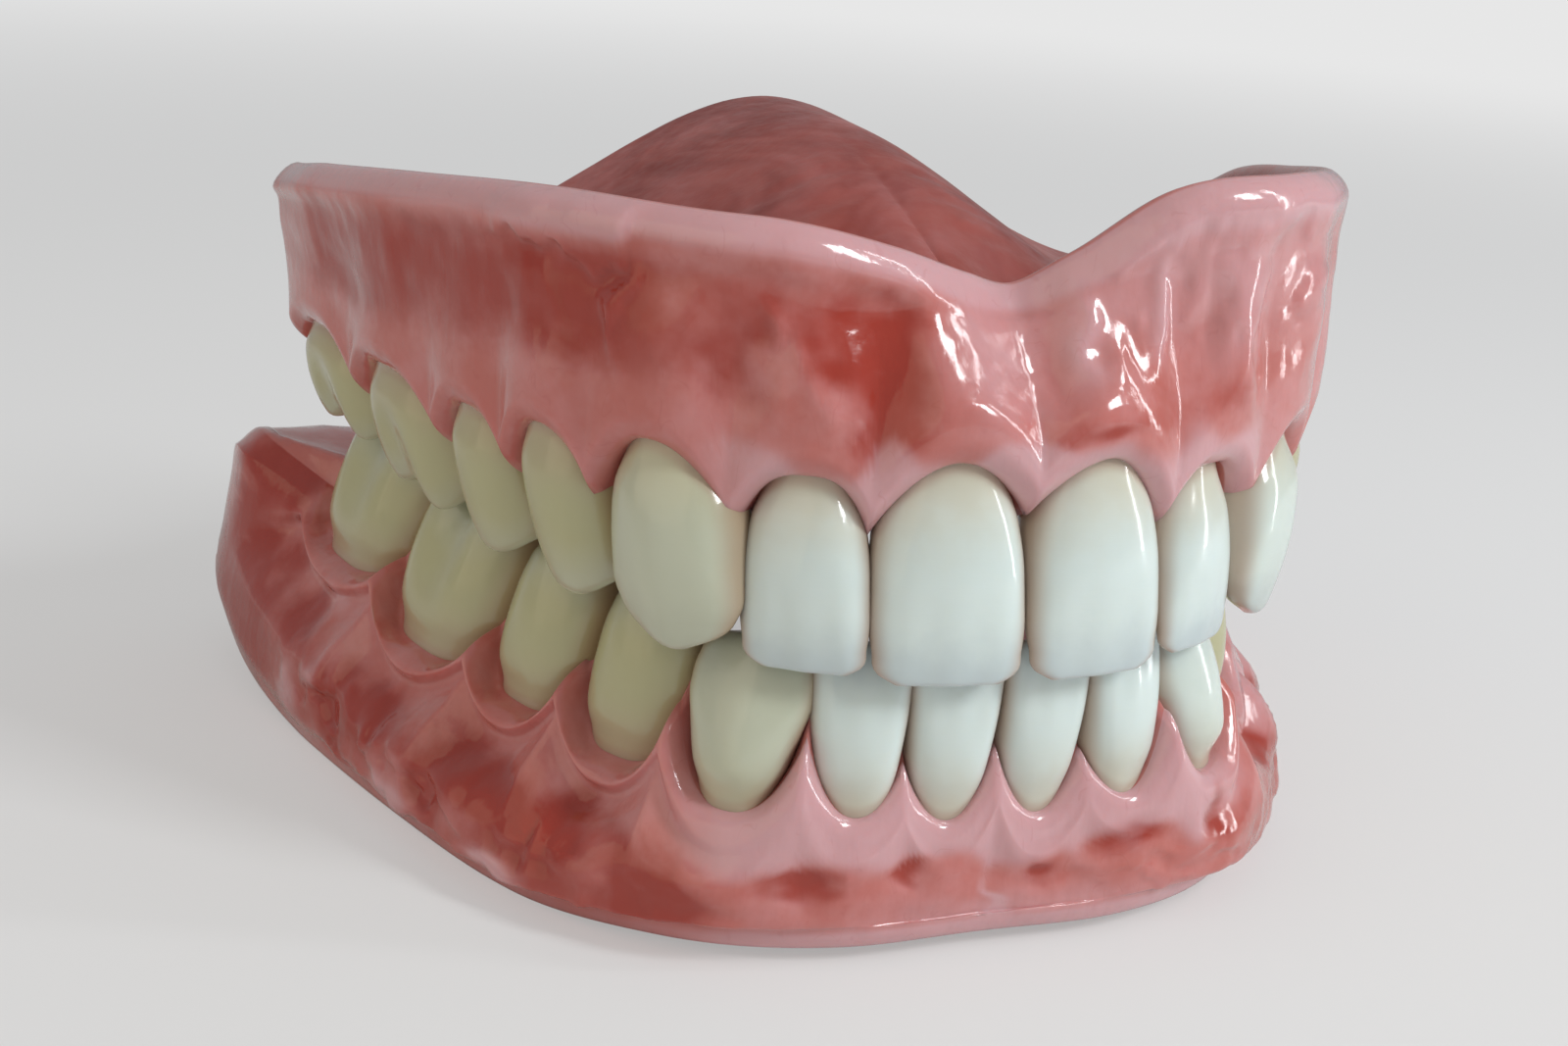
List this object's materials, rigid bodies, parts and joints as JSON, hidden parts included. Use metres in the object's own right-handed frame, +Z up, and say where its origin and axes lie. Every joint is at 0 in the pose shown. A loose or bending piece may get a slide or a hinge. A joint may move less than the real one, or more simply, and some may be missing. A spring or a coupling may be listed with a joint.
{
  "type": "full denture",
  "caption": "Upper and lower full denture standing closed: pink plates with palate and flanges, each with its own row of white teeth.",
  "frame": {"origin": "centre of the footprint of the closed pair, on the surface that it stands on", "axes": "+X to the wearer's left, -Y to the front teeth, +Z up from the lower plate to the upper"},
  "size_m": [0.071, 0.055, 0.0415],
  "materials": {
    "gum": "polished pink acrylic",
    "front_teeth": "polished white acrylic",
    "cheek_teeth": "polished ivory acrylic"
  },
  "bodies": {
    "root": {"upper_base": "gum", "lower_base": "gum", "upper_right_central_incisor": "front_teeth", "upper_right_lateral_incisor": "front_teeth", "upper_right_canine": "front_teeth", "upper_right_first_premolar": "cheek_teeth", "upper_right_second_premolar": "cheek_teeth", "upper_right_first_molar": "cheek_teeth", "upper_right_second_molar": "cheek_teeth", "upper_left_central_incisor": "front_teeth", "upper_left_lateral_incisor": "front_teeth", "upper_left_canine": "front_teeth", "upper_left_first_premolar": "cheek_teeth", "upper_left_second_premolar": "cheek_teeth", "upper_left_first_molar": "cheek_teeth", "upper_left_second_molar": "cheek_teeth", "lower_right_central_incisor": "front_teeth", "lower_right_lateral_incisor": "front_teeth", "lower_right_canine": "front_teeth", "lower_right_first_premolar": "cheek_teeth", "lower_right_second_premolar": "cheek_teeth", "lower_right_first_molar": "cheek_teeth", "lower_right_second_molar": "cheek_teeth", "lower_left_central_incisor": "front_teeth", "lower_left_lateral_incisor": "front_teeth", "lower_left_canine": "front_teeth", "lower_left_first_premolar": "cheek_teeth", "lower_left_second_premolar": "cheek_teeth", "lower_left_first_molar": "cheek_teeth", "lower_left_second_molar": "cheek_teeth"}
  },
  "joints": []
}
